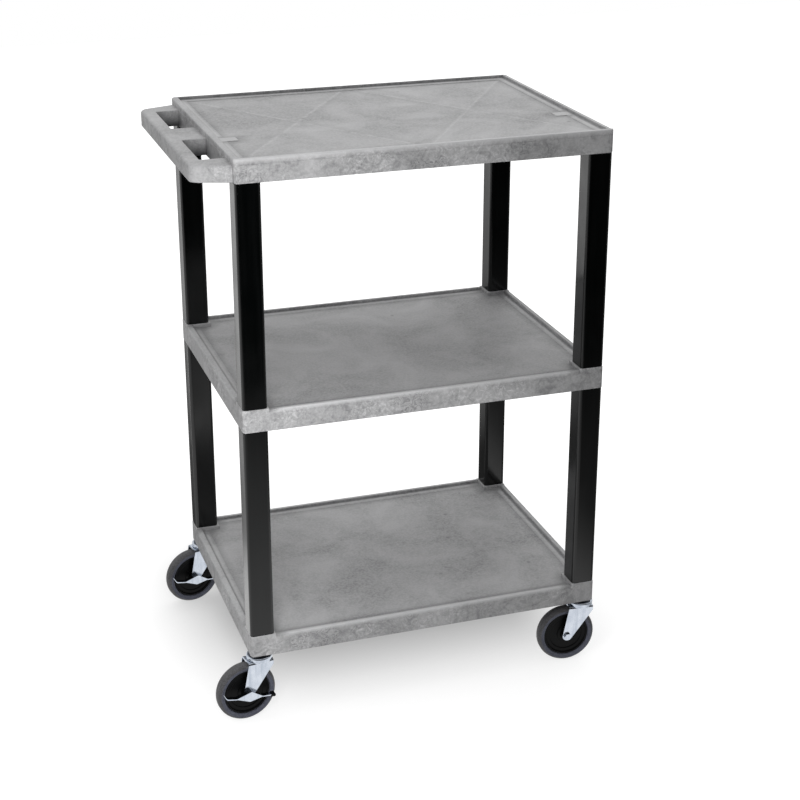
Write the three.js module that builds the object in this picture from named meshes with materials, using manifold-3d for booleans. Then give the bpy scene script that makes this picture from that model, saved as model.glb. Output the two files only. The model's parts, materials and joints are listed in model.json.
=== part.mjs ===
import * as THREE from 'three';
import { mergeVertices } from 'three/addons/utils/BufferGeometryUtils.js';
import Module from 'manifold-3d';

const wasm = await Module();
wasm.setup();

// A three-shelf book trolley. Millimetres, +Z up, handle towards -X, front towards -Y.

// The main sizes of the trolley
const shelfLength = 610;
const shelfDepth = 457;
const shelfHeight = 38;
const shelfPitch = 398;
const legSide = 40;
const casterHeight = 116;
const wheelRadius = 50.8;
const wheelWidth = 22.2;

// Clearances shared by mating pieces
const seatGap = 0.3;
const fitGap = 0.3;
const cutOverrun = 2;

// The moulded shelf
const shelfCornerRadius = 6;
const shelfEdgeRound = 1.6;
const skirtWall = 5;
const deckThickness = 5;
const lipHeight = 6;
const lipWidth = 9;
const lipSlope = 4;
const frontLipWidth = 6;
const frontLipDrop = 1.5;
const ribThickness = 4;
const pocketsAlong = 7;
const pocketsAcross = 5;
const padMargin = 2.5;
const bossWall = 4.5;

// The handle moulded on the left end of the top shelf
const handleReach = 60;
const handleDrop = 11;
const handleEdgeRound = 4;
const handleBarWidth = 22;
const handleRootHalf = 218;
const handleBarHalf = 197;
const handleCornerRadius = 10;
const slotBridge = 80;
const slotLength = 130;
const slotCornerRadius = 3;

// The plastic legs, one per corner and bay
const legInset = 0.5;
const legCornerRadius = 3;
const legWall = 3;
const spigotSide = 29;
const spigotWall = 3;
const spigotLength = 16;

// The caster stem and its swivel race
const casterInset = 17;
const stemRadius = 5.5;
const stemLength = 30;
const stemChamfer = 1.2;
const sleeveWall = 2.5;
const collarRadius = 9;
const collarThickness = 2;
const capRadius = 21.5;
const capThickness = 2.2;
const capRimDrop = 4.2;
const capEdgeRound = 1.1;
const ballRadius = 2.1;
const ballTrackRadius = 16;
const kingPinRadius = 4.5;
const kingPinHeadRadius = 8;
const kingPinHeadThickness = 2.6;

// The pressed steel fork
const forkThickness = 2.3;
const forkBendRadius = 4;
const forkHeadRadius = 20;
const forkSideGap = 2.4;
const casterTrail = 26;
const earEndRadius = 8.7;
const earBack = 23.5;
const earFront = 19;
const earShoulderDrop = 9;

// The wheel
const wheelFacets = 28;
const treadFlat = 8;
const treadShoulderDrop = 5.8;
const treadCrownShare = 0.2;
const tyreInnerRadius = 37;
const tyreBeadRadius = 40;
const tyreFaceInset = 1;
const hubRimWidth = 15;
const hubRimThickness = 2.4;
const hubWebHalf = 4;
const hubBossRadius = 10;
const hubBossGap = 1.1;

// The axle
const axleRadius = 3.2;
const axleHeadAcross = 11.1;
const axleHeadThickness = 4;
const axleNutThickness = 5;
const axleTail = 2;
const bushWall = 1.8;
const bushEndGap = 0.5;

// The brake pedal of the two casters under the handle end
const pedalPlate = 1.8;
const pedalGap = 0.5;
const pedalPeak = 9.2;
const pedalPoint = 9;
const pedalBackReach = 46;
const pedalFrontReach = 42;
const pedalBackRoot = 24;
const pedalFrontRoot = 21;
const pedalRootDrop = 2;
const pedalTipRise = 1.5;
const pedalCurlRise = 4;
const pedalCurlRun = 4;
const pedalHeadGap = 0.8;
const pedalHubRadius = 7;
const tipCapLength = 7;
const tipCapWall = 1.2;

// How far the back of a released pedal is tipped up, in degrees
const pedalRestDegrees = 10;

// How far each caster is turned from straight ahead, in degrees, and which ones have a brake
const casters = [
  { name: 'front_left', side: -1, end: -1, turn: 8, brake: true },
  { name: 'front_right', side: 1, end: -1, turn: -5, brake: false },
  { name: 'back_left', side: -1, end: 1, turn: 12, brake: true },
  { name: 'back_right', side: 1, end: 1, turn: 3, brake: false },
];

// Facet counts of round work
const roundFacets = 18;
const smallFacets = 12;
const cornerFacets = 3;

// Materials
const shelfGrey = { color: 0xa4a4a6, roughness: 0.62, metalness: 0 };
const legBlack = { color: 0x15181a, roughness: 0.42, metalness: 0 };
const zincPlate = { color: 0xc6c9cc, roughness: 0.3, metalness: 1 };
const hubBlack = { color: 0x121315, roughness: 0.5, metalness: 0 };
const tyreGrey = { color: 0x5d5f66, roughness: 0.75, metalness: 0 };
const bushSteel = { color: 0x9fa3a8, roughness: 0.35, metalness: 1 };

// A closed three.js geometry as a solid that can be joined and cut
function solid(geometry) {
  const plain = geometry.clone();
  plain.deleteAttribute('normal');
  plain.deleteAttribute('uv');
  const merged = mergeVertices(plain);
  const index = merged.getIndex().array;
  const kept = [];
  for (let i = 0; i < index.length; i += 3) {
    const [a, b, c] = [index[i], index[i + 1], index[i + 2]];
    if (a !== b && b !== c && a !== c) kept.push(a, b, c);
  }
  return new wasm.Manifold(new wasm.Mesh({
    numProp: 3,
    vertProperties: new Float32Array(merged.getAttribute('position').array),
    triVerts: new Uint32Array(kept),
  }));
}

// A finished solid as one named mesh with its own material
function piece(name, body, finish) {
  const mesh = body.getMesh();
  const geometry = new THREE.BufferGeometry();
  geometry.setAttribute('position', new THREE.BufferAttribute(mesh.vertProperties, 3));
  geometry.setIndex(new THREE.BufferAttribute(mesh.triVerts, 1));
  geometry.computeVertexNormals();
  const result = new THREE.Mesh(geometry, new THREE.MeshStandardMaterial(finish));
  result.name = name;
  return result;
}

function block(x0, x1, y0, y1, z0, z1) {
  const box = new THREE.BoxGeometry(x1 - x0, y1 - y0, z1 - z0);
  box.translate((x0 + x1) / 2, (y0 + y1) / 2, (z0 + z1) / 2);
  return solid(box);
}

// A block whose four sides lean: it is bottom = [x0, x1, y0, y1] at z0 and top at z1
function leaningBlock(bottom, top, z0, z1) {
  const box = new THREE.BoxGeometry(1, 1, 1);
  const position = box.getAttribute('position');
  for (let i = 0; i < position.count; i += 1) {
    const upper = position.getZ(i) > 0;
    const [x0, x1, y0, y1] = upper ? top : bottom;
    position.setX(i, position.getX(i) > 0 ? x1 : x0);
    position.setY(i, position.getY(i) > 0 ? y1 : y0);
    position.setZ(i, upper ? z1 : z0);
  }
  return solid(box);
}

function roundedRectangle(width, depth, radius) {
  const shape = new THREE.Shape();
  const x = width / 2 - radius;
  const y = depth / 2 - radius;
  const quarter = Math.PI / 2;
  shape.absarc(x, y, radius, 0, quarter);
  shape.absarc(-x, y, radius, quarter, 2 * quarter);
  shape.absarc(-x, -y, radius, 2 * quarter, 3 * quarter);
  shape.absarc(x, -y, radius, 3 * quarter, 4 * quarter);
  return shape;
}

// An upright prism from z = 0 to the height, its end edges rounded where a radius is given
function prism(shape, height, edgeRound = 0) {
  const geometry = new THREE.ExtrudeGeometry(shape, {
    depth: height - 2 * edgeRound,
    curveSegments: cornerFacets,
    bevelEnabled: edgeRound > 0,
    bevelThickness: edgeRound,
    bevelSize: edgeRound,
    bevelOffset: -edgeRound,
    bevelSegments: 2,
  });
  geometry.translate(0, 0, edgeRound);
  return solid(geometry);
}

// A prism of an outline drawn in X and Z, reaching from y0 to y1
function sidePrism(shape, y0, y1) {
  const geometry = new THREE.ExtrudeGeometry(shape, {
    depth: y1 - y0,
    curveSegments: smallFacets,
    bevelEnabled: false,
  });
  geometry.rotateX(Math.PI / 2);
  geometry.translate(0, y1, 0);
  return solid(geometry);
}

// Turned work about the Z axis from a profile of [radius, z] points
function turned(profile, facets = roundFacets) {
  const points = profile.map(([radius, z]) => new THREE.Vector2(radius, z));
  const geometry = new THREE.LatheGeometry(points, facets);
  geometry.rotateX(Math.PI / 2);
  return solid(geometry);
}

// Turned work about the Y axis with a flat facet straight below the axis
function wheelTurned(profile, facets = wheelFacets) {
  const points = profile.map(([radius, y]) => new THREE.Vector2(radius, y));
  return solid(new THREE.LatheGeometry(points, facets, Math.PI / facets));
}

// A cylinder about Y between y0 and y1
function crossCylinder(radius, y0, y1, facets = smallFacets) {
  const geometry = new THREE.CylinderGeometry(radius, radius, y1 - y0, facets);
  geometry.rotateY(Math.PI / facets);
  geometry.translate(0, (y0 + y1) / 2, 0);
  return solid(geometry);
}

function polygon(points) {
  return new THREE.Shape(points.map(([x, y]) => new THREE.Vector2(x, y)));
}

// Places shared by the shelves and what stands on them
const legPlace = legInset + legSide / 2;
const legCornerX = shelfLength / 2 - legPlace;
const legCornerY = shelfDepth / 2 - legPlace;
const casterCornerX = shelfLength / 2 - casterInset;
const casterCornerY = shelfDepth / 2 - casterInset;
const socketSide = spigotSide + 2 * fitGap;
const socketDepth = spigotLength + seatGap;
const sleeveRadius = stemRadius + fitGap + sleeveWall;
const corners = casters.map(({ name, side, end }) => ({ name, side, end }));

// The shelf as a block with rounded edges, its deck a lip height below the top of its rim.
// The lip along the front is narrower, and may lie lower than the rim by a drop.
function shelfBlank(drop) {
  const outline = roundedRectangle(shelfLength, shelfDepth, shelfCornerRadius);
  const deckBlock = prism(outline, shelfHeight - lipHeight, shelfEdgeRound)
    .translate([0, 0, -shelfHeight]);
  const fullBlock = prism(outline, shelfHeight, shelfEdgeRound).translate([0, 0, -shelfHeight]);

  const x = shelfLength / 2;
  const y = shelfDepth / 2;
  const rimFoot = -lipHeight - 2 * shelfEdgeRound;
  const top = [-x + lipWidth, x - lipWidth, -y + frontLipWidth, y - lipWidth];
  const inner = lipWidth + lipSlope;
  const bottom = [-x + inner, x - inner, -y + frontLipWidth + lipSlope, y - inner];
  const recess = leaningBlock(bottom, top, -lipHeight, 0)
    .add(block(...top, 0, cutOverrun))
    .add(block(...bottom, rimFoot - cutOverrun, -lipHeight));
  const aboveFoot = block(-shelfLength, shelfLength, -shelfDepth, shelfDepth, rimFoot, cutOverrun);
  const rim = fullBlock.intersect(aboveFoot).subtract(recess);
  const body = deckBlock.add(rim);
  if (drop === 0) return { body, fullBlock };
  const lowBlock = prism(outline, shelfHeight - drop, shelfEdgeRound)
    .translate([0, 0, -shelfHeight]);
  const front = block(-x + lipWidth, x - lipWidth, -y - cutOverrun, -y + frontLipWidth + lipSlope,
    -drop - 2 * shelfEdgeRound, cutOverrun);
  const lowLip = lowBlock.intersect(front).subtract(recess);
  return { body: body.subtract(front).add(lowLip), fullBlock };
}

// The square pads that the legs stand on, level with the top of the rim
function legPads(fullBlock) {
  const side = legInset + legSide + padMargin;
  const x = shelfLength / 2;
  const y = shelfDepth / 2;
  const low = -lipHeight - 2 * shelfEdgeRound;
  const pads = corners.map((corner) => {
    const [xNear, xFar] = [corner.side * x, corner.side * (x - side)].sort((a, b) => a - b);
    const [yNear, yFar] = [corner.end * y, corner.end * (y - side)].sort((a, b) => a - b);
    return block(xNear, xFar, yNear, yFar, low, cutOverrun);
  });
  return pads.reduce((all, pad) => all.add(pad)).intersect(fullBlock);
}

// The pockets between the ribs under the deck, which stop short of the corner bosses
function underPockets() {
  const innerLength = shelfLength - 2 * skirtWall;
  const innerDepth = shelfDepth - 2 * skirtWall;
  const pitchX = (innerLength + ribThickness) / pocketsAlong;
  const pitchY = (innerDepth + ribThickness) / pocketsAcross;
  const top = -lipHeight - deckThickness;
  let pockets = null;
  for (let i = 0; i < pocketsAlong; i += 1) {
    for (let j = 0; j < pocketsAcross; j += 1) {
      const x0 = -innerLength / 2 + i * pitchX;
      const y0 = -innerDepth / 2 + j * pitchY;
      const pocket = block(x0, x0 + pitchX - ribThickness, y0, y0 + pitchY - ribThickness,
        -shelfHeight - cutOverrun, top);
      pockets = pockets ? pockets.add(pocket) : pocket;
    }
  }
  const bossHalf = socketSide / 2 + bossWall;
  for (const corner of corners) {
    const x = corner.side * legCornerX;
    const y = corner.end * legCornerY;
    pockets = pockets.subtract(block(x - bossHalf, x + bossHalf, y - bossHalf, y + bossHalf,
      -shelfHeight - 2 * cutOverrun, cutOverrun));
  }
  return pockets;
}

// The square sockets for the leg spigots, cut from z0 up to z1 in each corner boss
function legSockets(z0, z1) {
  const half = socketSide / 2;
  return corners
    .map(({ side, end }) => {
      const x = side * legCornerX;
      const y = end * legCornerY;
      return block(x - half, x + half, y - half, y + half, z0, z1);
    })
    .reduce((all, socket) => all.add(socket));
}

// The round bores under the bottom shelf that take the caster sleeves
function stemBores() {
  const bore = sleeveRadius + fitGap;
  return corners
    .map(({ side, end }) => turned([
      [0, -shelfHeight - cutOverrun], [bore, -shelfHeight - cutOverrun],
      [bore, -socketDepth + cutOverrun], [0, -socketDepth + cutOverrun],
    ], smallFacets).translate([side * casterCornerX, end * casterCornerY, 0]))
    .reduce((all, bore) => all.add(bore));
}

// The handle: a bar held off the end of the shelf by slanting arms, with two finger slots
function handleBody() {
  const rootX = -shelfLength / 2;
  const insideX = rootX + 2 * handleEdgeRound;
  const barX = rootX - handleReach;
  const slant = (handleRootHalf - handleBarHalf) / handleReach;
  const round = handleCornerRadius;
  const outline = new THREE.Shape();
  outline.moveTo(insideX, -handleRootHalf);
  outline.lineTo(rootX, -handleRootHalf);
  outline.lineTo(barX + round, -handleBarHalf - slant * round);
  outline.quadraticCurveTo(barX, -handleBarHalf, barX, -handleBarHalf + round);
  outline.lineTo(barX, handleBarHalf - round);
  outline.quadraticCurveTo(barX, handleBarHalf, barX + round, handleBarHalf + slant * round);
  outline.lineTo(rootX, handleRootHalf);
  outline.lineTo(insideX, handleRootHalf);
  outline.closePath();
  const bar = prism(outline, shelfHeight - handleDrop, handleEdgeRound)
    .translate([0, 0, -shelfHeight]);

  const slotWidth = handleReach - handleBarWidth;
  const slotShape = roundedRectangle(slotWidth, slotLength, slotCornerRadius);
  const slotX = rootX - slotWidth / 2;
  const slotY = slotBridge / 2 + slotLength / 2;
  const slot = prism(slotShape, shelfHeight + 2 * cutOverrun)
    .translate([slotX, 0, -shelfHeight - cutOverrun]);
  return bar.subtract(slot.translate([0, slotY, 0])).subtract(slot.translate([0, -slotY, 0]));
}

function topShelf() {
  const { body } = shelfBlank(0);
  return body
    .add(handleBody())
    .subtract(underPockets())
    .subtract(legSockets(-shelfHeight - cutOverrun, -shelfHeight + socketDepth));
}

function middleShelf() {
  const { body, fullBlock } = shelfBlank(frontLipDrop);
  return body
    .add(legPads(fullBlock))
    .subtract(underPockets())
    .subtract(legSockets(-shelfHeight - cutOverrun, -shelfHeight + socketDepth))
    .subtract(legSockets(-socketDepth, cutOverrun));
}

function bottomShelf() {
  const { body, fullBlock } = shelfBlank(frontLipDrop);
  return body
    .add(legPads(fullBlock))
    .subtract(underPockets())
    .subtract(legSockets(-socketDepth, cutOverrun))
    .subtract(stemBores());
}

// One leg, standing from z = 0, with a hollow spigot past each end
function leg() {
  const length = shelfPitch - shelfHeight - 2 * seatGap;
  const tube = prism(roundedRectangle(legSide, legSide, legCornerRadius), length);
  const spigot = spigotSide / 2;
  const spigots = block(-spigot, spigot, -spigot, spigot, -spigotLength, length + spigotLength);
  const bore = spigot - spigotWall;
  const hollow = legSide / 2 - legWall;
  const through = block(-bore, bore, -bore, bore,
    -spigotLength - cutOverrun, length + spigotLength + cutOverrun);
  const cavity = block(-hollow, hollow, -hollow, hollow, legWall, length - legWall);
  return tube.add(spigots).subtract(through).subtract(cavity);
}

// Heights in the caster, measured down from the underside of the shelf
const collarTop = -seatGap;
const capTop = collarTop - collarThickness - fitGap;
const capUnder = capTop - capThickness;
const ballTop = capUnder - fitGap;
const forkTop = ballTop - 2 * ballRadius - fitGap;
const forkUnder = forkTop - forkThickness;
const kingPinHeadTop = forkUnder - fitGap;
const axleDrop = casterHeight - wheelRadius;
const forkInner = wheelWidth / 2 + forkSideGap;
const forkOuter = forkInner + forkThickness;

// The black plastic sleeve pressed into the shelf for the stem
function stemSleeve() {
  const height = shelfHeight - socketDepth - seatGap;
  const bore = stemRadius + fitGap;
  return turned([
    [bore, 0], [sleeveRadius, 0], [sleeveRadius, height], [bore, height], [bore, 0],
  ], smallFacets);
}

// The stem: a plain pin above, a collar on the race cap, a king pin with a riveted head below
function stem() {
  const headFoot = kingPinHeadTop - kingPinHeadThickness;
  return turned([
    [0, headFoot], [kingPinHeadRadius - kingPinHeadThickness / 2, headFoot],
    [kingPinHeadRadius, kingPinHeadTop], [kingPinRadius, kingPinHeadTop],
    [kingPinRadius, collarTop - collarThickness], [collarRadius, collarTop - collarThickness],
    [collarRadius, collarTop], [stemRadius, collarTop],
    [stemRadius, stemLength - stemChamfer], [stemRadius - stemChamfer, stemLength],
    [0, stemLength],
  ], smallFacets);
}

// The dished cap that holds the balls, its rim turned down round the fork head
function raceCap() {
  const bore = kingPinRadius + fitGap;
  const rimInner = capRadius - capThickness;
  const rimFoot = capUnder - capRimDrop;
  return turned([
    [bore, capUnder], [rimInner, capUnder], [rimInner, rimFoot], [capRadius, rimFoot],
    [capRadius, capTop - capEdgeRound], [capRadius - capEdgeRound, capTop], [bore, capTop],
    [bore, capUnder],
  ]);
}

// The ring of swivel balls, as the ring that the balls fill
function ballRing() {
  const ring = new THREE.TorusGeometry(ballTrackRadius, ballRadius, 2 * cornerFacets, roundFacets);
  ring.translate(0, 0, ballTop - ballRadius);
  return solid(ring);
}

// The pressed fork: a channel bent from one sheet, cut to the outline of its two ears
function fork() {
  const round = forkBendRadius;
  const innerRound = forkBendRadius - forkThickness;
  const foot = -axleDrop - earEndRadius - cutOverrun;
  const quarter = Math.PI / 2;
  const section = new THREE.Shape();
  section.moveTo(forkOuter, foot);
  section.lineTo(forkOuter, forkTop - round);
  section.absarc(forkOuter - round, forkTop - round, round, 0, quarter);
  section.absarc(round - forkOuter, forkTop - round, round, quarter, 2 * quarter);
  section.lineTo(-forkOuter, foot);
  section.lineTo(-forkInner, foot);
  section.lineTo(-forkInner, forkTop - round);
  section.absarc(round - forkOuter, forkTop - round, innerRound, 2 * quarter, quarter, true);
  section.absarc(forkOuter - round, forkTop - round, innerRound, quarter, 0, true);
  section.lineTo(forkInner, foot);
  section.closePath();
  const length = 2 * (casterTrail + earEndRadius);
  const channelShape = new THREE.ExtrudeGeometry(section, {
    depth: length, curveSegments: cornerFacets, bevelEnabled: false,
  });
  channelShape.rotateX(Math.PI / 2);
  channelShape.rotateZ(Math.PI / 2);
  channelShape.translate(-length / 2, 0, 0);
  const channel = solid(channelShape);

  const outline = new THREE.Shape();
  const endAngle = Math.atan2(forkTop - earShoulderDrop + axleDrop, earFront + casterTrail);
  const tangent = endAngle - Math.acos(earEndRadius
    / Math.hypot(forkTop - earShoulderDrop + axleDrop, earFront + casterTrail));
  outline.moveTo(-earBack, forkTop + cutOverrun);
  outline.absarc(-casterTrail, -axleDrop, earEndRadius, Math.PI, 2 * Math.PI + tangent);
  outline.lineTo(earFront, forkTop - earShoulderDrop);
  outline.lineTo(earFront, forkTop + cutOverrun);
  outline.closePath();
  const ears = channel.intersect(sidePrism(outline, -forkOuter - cutOverrun, forkOuter + cutOverrun));

  const head = turned([
    [0, forkUnder], [forkHeadRadius, forkUnder], [forkHeadRadius, forkTop], [0, forkTop],
  ]);
  const pinHole = turned([
    [0, forkUnder - cutOverrun], [kingPinRadius + fitGap, forkUnder - cutOverrun],
    [kingPinRadius + fitGap, forkTop + cutOverrun], [0, forkTop + cutOverrun],
  ], smallFacets);
  const axleHole = crossCylinder(axleRadius + fitGap, -forkOuter - cutOverrun, forkOuter + cutOverrun)
    .translate([-casterTrail, 0, -axleDrop]);
  return ears.add(head).subtract(pinHole).subtract(axleHole);
}

// The tyre: a crowned tread with a bead that grips the rim of the hub
function tyre() {
  const tread = wheelRadius / Math.cos(Math.PI / wheelFacets);
  const half = wheelWidth / 2;
  const shoulder = tread - treadShoulderDrop;
  const crown = tread - treadShoulderDrop * treadCrownShare;
  const face = half - tyreFaceInset;
  const bead = hubRimWidth / 2 + fitGap;
  const profile = [
    [tyreInnerRadius + hubRimThickness, bead], [tyreBeadRadius, face], [shoulder, half],
    [crown, (half + treadFlat / 2) / 2], [tread, treadFlat / 2],
  ];
  const mirrored = profile.map(([radius, y]) => [radius, -y]).reverse();
  const closed = [...profile, ...mirrored];
  return wheelTurned([...closed, closed[0]].reverse());
}

// The hub: a rim under the tyre, a thin web set back from the faces, and a bored boss
function wheelHub() {
  const rimHalf = hubRimWidth / 2;
  const boss = forkInner - hubBossGap;
  const bore = axleRadius + fitGap + bushWall + fitGap;
  const rimOuter = tyreInnerRadius + hubRimThickness - fitGap;
  const rimInner = rimOuter - hubRimThickness;
  const profile = [
    [bore, boss], [hubBossRadius, boss], [hubBossRadius, hubWebHalf], [rimInner, hubWebHalf],
    [rimInner, rimHalf], [rimOuter, rimHalf],
  ];
  const mirrored = profile.map(([radius, y]) => [radius, -y]).reverse();
  const closed = [...profile, ...mirrored];
  return wheelTurned([...closed, closed[0]].reverse());
}

// The steel bush that the hub turns on
function axleBush() {
  const half = forkInner - bushEndGap;
  const bore = axleRadius + fitGap;
  const outer = bore + bushWall;
  return wheelTurned([
    [bore, half], [bore, -half], [outer, -half], [outer, half], [bore, half],
  ], smallFacets);
}

// A hexagon bar about Y between y0 and y1
function hexagon(y0, y1) {
  return crossCylinder(axleHeadAcross / 2 / Math.cos(Math.PI / 6), y0, y1, 6);
}

// Where the axle head starts: on the ear, or on the pedal that turns round the axle
function headFace(brake) {
  const clamped = brake ? pedalGap + pedalPlate : 0;
  return -forkOuter - clamped - seatGap;
}

function axleBolt(brake) {
  const face = headFace(brake);
  const end = forkOuter + seatGap + axleNutThickness + axleTail;
  return crossCylinder(axleRadius, face, end).add(hexagon(face - axleHeadThickness, face));
}

function axleNut() {
  const face = forkOuter + seatGap;
  return hexagon(face, face + axleNutThickness)
    .subtract(crossCylinder(axleRadius + fitGap, face - cutOverrun, face + axleNutThickness + cutOverrun));
}

// The brake pedal: a peaked web over the axle head, a pointed flange outside it,
// a bored flange inside it, and a curled toe plate at the back
function brakePedal() {
  const inner = -forkOuter - pedalGap;
  const outer = headFace(true) - axleHeadThickness - pedalHeadGap - pedalPlate;
  const upper = [
    [-pedalBackReach, pedalCurlRise], [-pedalBackReach + pedalCurlRun, -pedalRootDrop / 2],
    [-pedalBackRoot, -pedalRootDrop], [0, pedalPeak], [pedalFrontRoot, 0],
    [pedalFrontReach, pedalTipRise],
  ];
  const lower = upper.map(([x, z]) => [x, z - pedalPlate]).reverse();
  const web = sidePrism(polygon([...upper, ...lower]), outer, inner);
  const point = sidePrism(polygon([
    [-pedalBackRoot, -pedalRootDrop], [-pedalBackRoot, -pedalRootDrop - pedalPlate],
    [0, -pedalPoint], [pedalFrontRoot, -pedalPlate], [pedalFrontRoot, 0], [0, pedalPeak],
  ]), outer, outer + pedalPlate);
  const innerFlange = crossCylinder(pedalHubRadius, inner - pedalPlate, inner, roundFacets);
  const hole = crossCylinder(axleRadius + fitGap, inner - pedalPlate - cutOverrun / 2,
    inner + cutOverrun);
  return web.add(point).add(innerFlange).subtract(hole);
}

// The black cap pushed over the front tip of the pedal
function pedalTip() {
  const inner = -forkOuter - pedalGap;
  const outer = headFace(true) - axleHeadThickness - pedalHeadGap - pedalPlate;
  const x1 = pedalFrontReach + fitGap + tipCapWall;
  const x0 = pedalFrontReach - tipCapLength + tipCapWall;
  const rise = pedalTipRise / (pedalFrontReach - pedalFrontRoot);
  const middle = (x) => (x - pedalFrontRoot) * rise - pedalPlate / 2;
  const half = pedalPlate / 2 + fitGap;
  const shell = half + tipCapWall;
  const body = sidePrism(polygon([
    [x0, middle(x0) - shell], [x1, middle(x1) - shell], [x1, middle(x1) + shell],
    [x0, middle(x0) + shell],
  ]), outer - fitGap - tipCapWall, inner - fitGap);
  const xEnd = pedalFrontReach + fitGap;
  const xMouth = x0 - cutOverrun;
  const slot = sidePrism(polygon([
    [xMouth, middle(xMouth) - half], [xEnd, middle(xEnd) - half], [xEnd, middle(xEnd) + half],
    [xMouth, middle(xMouth) + half],
  ]), outer - fitGap, inner + cutOverrun);
  return body.subtract(slot);
}

// One caster, built about its swivel axis with the underside of the shelf at z = 0
function caster({ name, side, end, turn, brake }) {
  const fixed = new THREE.Group();
  fixed.position.set(side * casterCornerX, end * casterCornerY, casterHeight);
  fixed.add(piece(`stem_sleeve_${name}`, stemSleeve(), hubBlack));
  fixed.add(piece(`caster_stem_${name}`, stem(), zincPlate));
  fixed.add(piece(`race_cap_${name}`, raceCap(), zincPlate));
  fixed.add(piece(`swivel_balls_${name}`, ballRing(), bushSteel));

  const swivel = new THREE.Group();
  swivel.rotation.z = THREE.MathUtils.degToRad(turn);
  swivel.add(piece(`fork_${name}`, fork(), zincPlate));

  const axle = new THREE.Group();
  axle.position.set(-casterTrail, 0, -axleDrop);
  axle.add(piece(`tyre_${name}`, tyre(), tyreGrey));
  axle.add(piece(`wheel_hub_${name}`, wheelHub(), hubBlack));
  axle.add(piece(`axle_bush_${name}`, axleBush(), bushSteel));
  axle.add(piece(`axle_bolt_${name}`, axleBolt(brake), zincPlate));
  axle.add(piece(`axle_nut_${name}`, axleNut(), zincPlate));
  if (brake) {
    const pedal = new THREE.Group();
    pedal.rotation.y = THREE.MathUtils.degToRad(pedalRestDegrees);
    pedal.add(piece(`brake_pedal_${name}`, brakePedal(), zincPlate));
    pedal.add(piece(`pedal_tip_${name}`, pedalTip(), hubBlack));
    axle.add(pedal);
  }
  swivel.add(axle);
  fixed.add(swivel);
  return fixed;
}

// The whole trolley, standing on z = 0
const trolley = new THREE.Group();
const bottomTop = casterHeight + shelfHeight;
const shelves = [
  ['bottom_shelf', bottomShelf()], ['middle_shelf', middleShelf()], ['top_shelf', topShelf()],
];
shelves.forEach(([name, body], level) => {
  const shelf = piece(name, body, shelfGrey);
  shelf.position.z = bottomTop + level * shelfPitch;
  trolley.add(shelf);
});
['lower', 'upper'].forEach((bay, level) => {
  for (const { name, side, end } of corners) {
    const post = piece(`${bay}_leg_${name}`, leg(), legBlack);
    post.position.set(side * legCornerX, end * legCornerY,
      bottomTop + level * shelfPitch + seatGap);
    trolley.add(post);
  }
});
for (const each of casters) trolley.add(caster(each));

// The origin is the middle of the footprint of the whole trolley, on the floor
const extent = new THREE.Box3().setFromObject(trolley, true);
const middle = extent.getCenter(new THREE.Vector3());
trolley.position.set(-middle.x, -middle.y, 0);
trolley.updateMatrixWorld(true);

export default trolley;
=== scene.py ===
import json
from math import acos, atan2, ceil, copysign, cos, hypot, pi, radians, sin, sqrt, tan

import bmesh
import bpy
from mathutils import Matrix, Vector


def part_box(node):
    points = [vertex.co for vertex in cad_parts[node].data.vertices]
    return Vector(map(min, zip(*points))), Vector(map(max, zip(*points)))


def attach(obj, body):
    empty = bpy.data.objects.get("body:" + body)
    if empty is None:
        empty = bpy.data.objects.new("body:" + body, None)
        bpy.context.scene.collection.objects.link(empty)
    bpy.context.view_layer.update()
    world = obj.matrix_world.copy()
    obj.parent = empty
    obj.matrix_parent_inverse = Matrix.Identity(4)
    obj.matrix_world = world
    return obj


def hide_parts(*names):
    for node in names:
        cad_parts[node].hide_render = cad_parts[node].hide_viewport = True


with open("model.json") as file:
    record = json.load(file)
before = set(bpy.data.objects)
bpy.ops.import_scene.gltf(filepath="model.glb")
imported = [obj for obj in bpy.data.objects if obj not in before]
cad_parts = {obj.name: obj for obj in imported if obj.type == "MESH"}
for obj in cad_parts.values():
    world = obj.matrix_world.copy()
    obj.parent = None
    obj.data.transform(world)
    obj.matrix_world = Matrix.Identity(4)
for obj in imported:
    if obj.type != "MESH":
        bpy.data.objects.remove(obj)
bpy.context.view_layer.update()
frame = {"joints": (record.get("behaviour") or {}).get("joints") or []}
scene = bpy.context.scene

# The three shelves
# Each is one tray of structural foam polyethylene, moulded in grey. A rim runs round the back and
# both ends, a narrower lip along the front, and ribs under the deck. Legs press into the corners.
mm = 0.001
shelf_low, shelf_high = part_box("middle_shelf")
shelf_height = shelf_high.z - shelf_low.z
rim_height = 6 * mm
top_edge_round = 2 * mm
foot_edge_round = 1.6 * mm
corner_round = 6 * mm
groove_drop = 6.3 * mm
rim_flat = 9 * mm
lip_flat = 5.4 * mm
# Profiles inwards from the shelf's side: (distance, height from the rim's top, corner radius)
rim_profile = [
    (0, -1.6 * mm, 0), (7.4 * mm, 0, 6 * mm), (9.4 * mm, 0, 1.2 * mm),
    (10.4 * mm, -4.4 * mm, 0.5 * mm), (12 * mm, -4.9 * mm, 0), (21.6 * mm, -5.5 * mm, 0),
    (22.2 * mm, -groove_drop, 0), (23 * mm, -groove_drop, 0), (23.6 * mm, -rim_height, 0),
]
front_profile = [
    (0, -0.3 * mm, 0), (5.6 * mm, 0, 1 * mm), (6.6 * mm, -4.6 * mm, 0.5 * mm),
    (8 * mm, -5 * mm, 0), (14.6 * mm, -5.5 * mm, 0), (15.2 * mm, -groove_drop, 0),
    (16 * mm, -groove_drop, 0), (16.6 * mm, -rim_height, 0),
]
front_drop = 1.5 * mm
leg_inset = 0.5 * mm
leg_side = 40 * mm
pad_side = leg_inset + leg_side + 2.5 * mm
pad_profile = [
    (-2 * mm, 0, 0), (-0.2 * mm, 0, 0.8 * mm), (0.2 * mm, -5.2 * mm, 0.4 * mm),
    (1.4 * mm, -rim_height, 0),
]
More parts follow.
